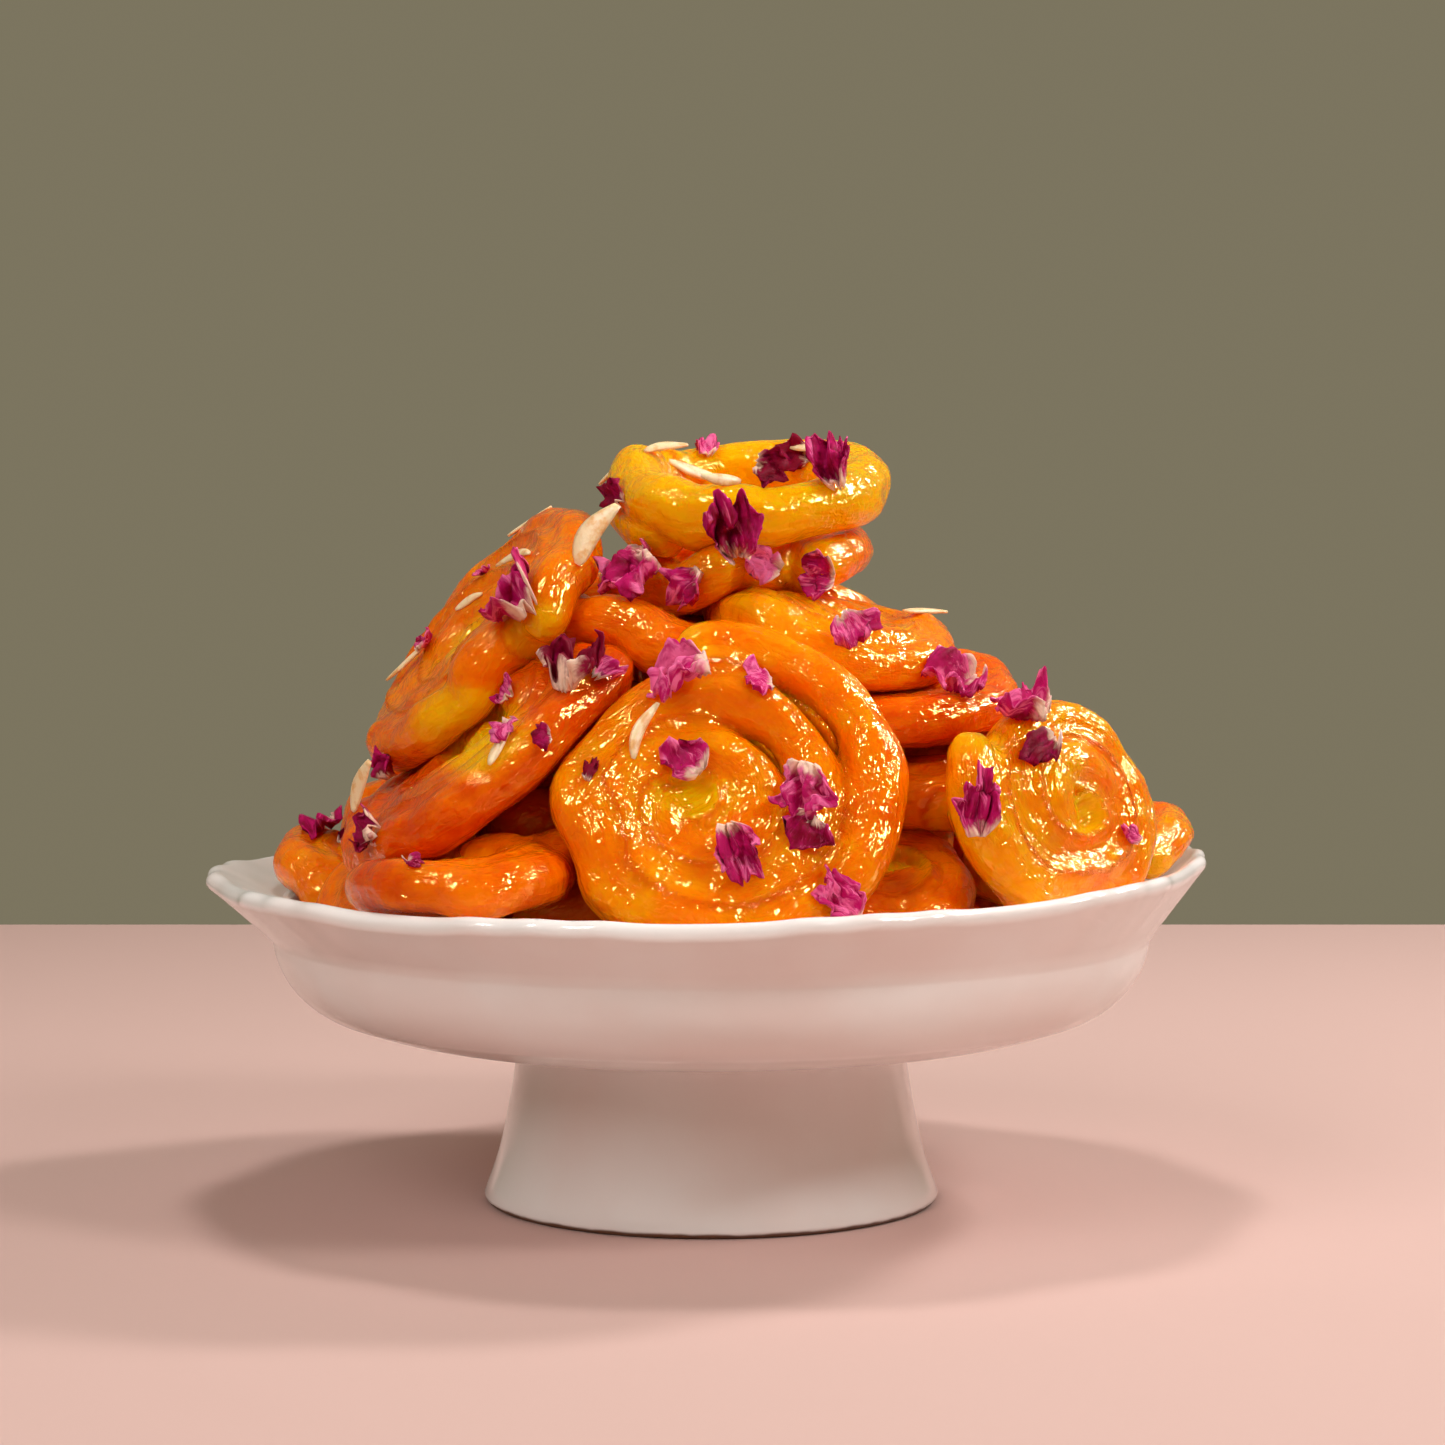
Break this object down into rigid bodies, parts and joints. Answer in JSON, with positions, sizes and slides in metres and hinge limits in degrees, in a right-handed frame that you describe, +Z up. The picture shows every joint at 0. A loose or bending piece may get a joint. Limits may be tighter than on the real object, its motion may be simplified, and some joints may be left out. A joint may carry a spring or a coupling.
{
  "type": "bowl of jalebi",
  "caption": "Footed white porcelain bowl with a wavy flared lip, heaped with glossy orange coiled jalebi and strewn with dried rose petals.",
  "frame": {"origin": "middle of the footprint, on the surface the foot stands on", "axes": "+Z up; -Y is the front of the heap, with the large upright sweet; +X to its right"},
  "size_m": [0.2018, 0.1966, 0.1556],
  "materials": {
    "porcelain": "glossy white glaze",
    "jalebi": "syrup-soaked fried batter, translucent and wet",
    "petal": "dried rose petal, dull",
    "almond": "almond sliver, dull"
  },
  "bodies": {
    "root": {"bowl": "porcelain", "jalebi_back": "jalebi", "jalebi_back_high": "jalebi", "jalebi_back_left": "jalebi", "jalebi_back_left_high": "jalebi", "jalebi_back_low_left": "jalebi", "jalebi_back_low_right": "jalebi", "jalebi_back_right": "jalebi", "jalebi_bed_back": "jalebi", "jalebi_bed_front": "jalebi", "jalebi_bed_left": "jalebi", "jalebi_bed_right": "jalebi", "jalebi_core": "jalebi", "jalebi_core_high": "jalebi", "jalebi_front": "jalebi", "jalebi_front_left": "jalebi", "jalebi_front_right": "jalebi", "jalebi_lean_left": "jalebi", "jalebi_lean_left_high": "jalebi", "jalebi_ledge_right": "jalebi", "jalebi_low_left": "jalebi", "jalebi_low_right": "jalebi", "jalebi_rim_back": "jalebi", "jalebi_rim_back_left": "jalebi", "jalebi_rim_left": "jalebi", "jalebi_rim_right": "jalebi", "jalebi_second_ring": "jalebi", "jalebi_shade_left": "jalebi", "jalebi_shoulder_right": "jalebi", "jalebi_slope_right": "jalebi", "jalebi_top_ring": "jalebi", "jalebi_under_rings": "jalebi", "petal_front_cup": "petal", "petal_front_foot": "petal", "petal_front_tail": "petal", "petal_front_top": "petal", "petal_lean_high": "petal", "petal_ledge": "petal", "petal_right_moon": "petal", "petal_right_top": "petal", "petal_ring_front": "petal", "petal_ring_inside": "petal", "petal_second_ring": "petal", "petal_shade": "petal"}
  },
  "joints": []
}
